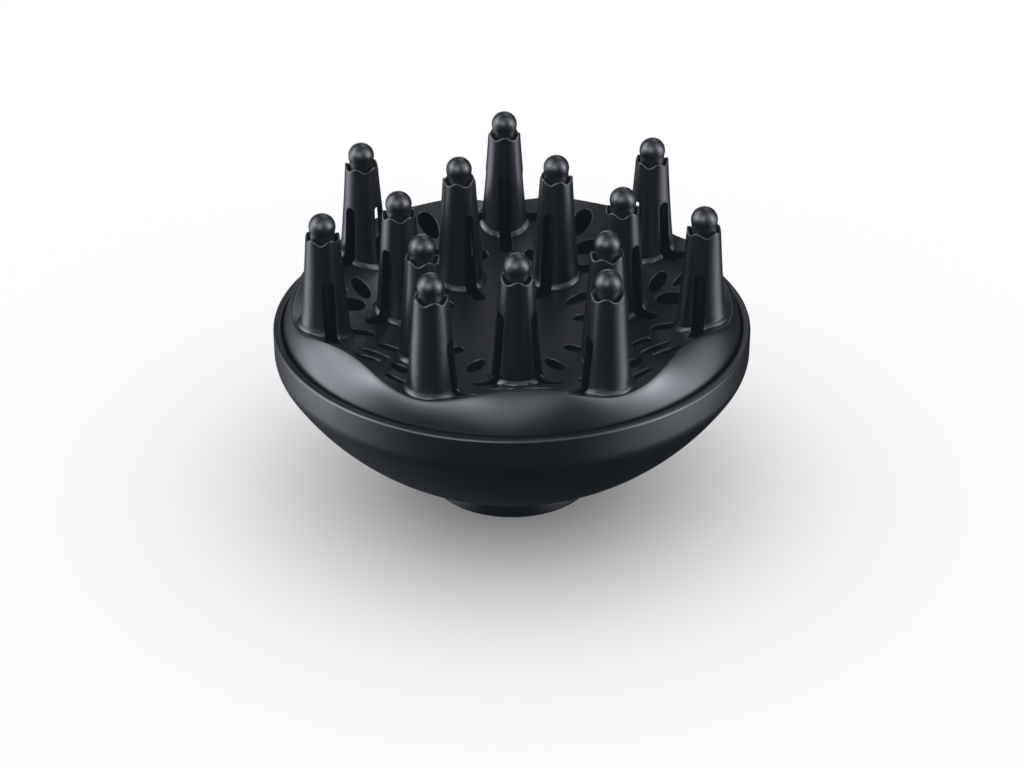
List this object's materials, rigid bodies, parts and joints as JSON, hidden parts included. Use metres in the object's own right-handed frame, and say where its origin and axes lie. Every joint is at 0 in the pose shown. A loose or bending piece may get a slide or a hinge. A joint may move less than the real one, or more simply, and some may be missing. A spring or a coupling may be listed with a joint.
{
  "type": "hair dryer diffuser attachment",
  "caption": "Bowl-shaped hair dryer diffuser with rings of hollow slotted fingers; turning its vented cover raises ball-tipped pins out of them.",
  "frame": {"origin": "on the axis at the lower end of the collar, which is what it stands on", "axes": "+Z along the axis, up through the fingers; the first outer finger is at +Y"},
  "size_m": [0.15, 0.15, 0.1018],
  "materials": {
    "bowl_plastic": "satin black moulded",
    "cover_plastic": "smooth satin black moulded",
    "sleeve_plastic": "satin black moulded",
    "pin_plastic": "soft satin black",
    "collar_plastic": "satin black",
    "inner_plastic": "plain black moulded",
    "grip_rubber": "matte",
    "screw_steel": "plain"
  },
  "bodies": {
    "bowl": {"outer_bowl": "bowl_plastic", "collar": "collar_plastic", "grip_ring": "grip_rubber", "collar_lock_ring": "inner_plastic", "air_baffle": "inner_plastic", "lift_cam": "inner_plastic", "baffle_screw_1": "screw_steel", "baffle_screw_2": "screw_steel", "baffle_screw_3": "screw_steel", "baffle_screw_4": "screw_steel", "cam_screw_1": "screw_steel", "cam_screw_2": "screw_steel", "cam_screw_3": "screw_steel"},
    "cover": {"finger_cover": "cover_plastic", "outer_sleeve_1": "sleeve_plastic", "outer_sleeve_2": "sleeve_plastic", "outer_sleeve_3": "sleeve_plastic", "outer_sleeve_4": "sleeve_plastic", "outer_sleeve_5": "sleeve_plastic", "outer_sleeve_6": "sleeve_plastic", "outer_sleeve_7": "sleeve_plastic", "inner_sleeve_1": "sleeve_plastic", "inner_sleeve_2": "sleeve_plastic", "inner_sleeve_3": "sleeve_plastic", "inner_sleeve_4": "sleeve_plastic", "inner_sleeve_5": "sleeve_plastic", "inner_sleeve_6": "sleeve_plastic", "inner_sleeve_7": "sleeve_plastic"},
    "pins": {"pin_carrier": "inner_plastic", "outer_pin_1": "pin_plastic", "outer_pin_2": "pin_plastic", "outer_pin_3": "pin_plastic", "outer_pin_4": "pin_plastic", "outer_pin_5": "pin_plastic", "outer_pin_6": "pin_plastic", "outer_pin_7": "pin_plastic", "inner_pin_1": "pin_plastic", "inner_pin_2": "pin_plastic", "inner_pin_3": "pin_plastic", "inner_pin_4": "pin_plastic", "inner_pin_5": "pin_plastic", "inner_pin_6": "pin_plastic", "inner_pin_7": "pin_plastic"}
  },
  "joints": [
    {"name": "cover_twist", "type": "hinge", "parent": "bowl", "child": "cover", "pos_m": [0, 0, 0.055], "axis": [0, 0, 1], "range_deg": [0, 60]},
    {"name": "pin_lift", "type": "slide", "parent": "cover", "child": "pins", "axis": [0, 0, 1], "range_m": [0, 0.009]}
  ],
  "couplings": [
    {"joint": "pin_lift", "follows": "cover_twist", "m_per_rad": 0.0085944}
  ]
}
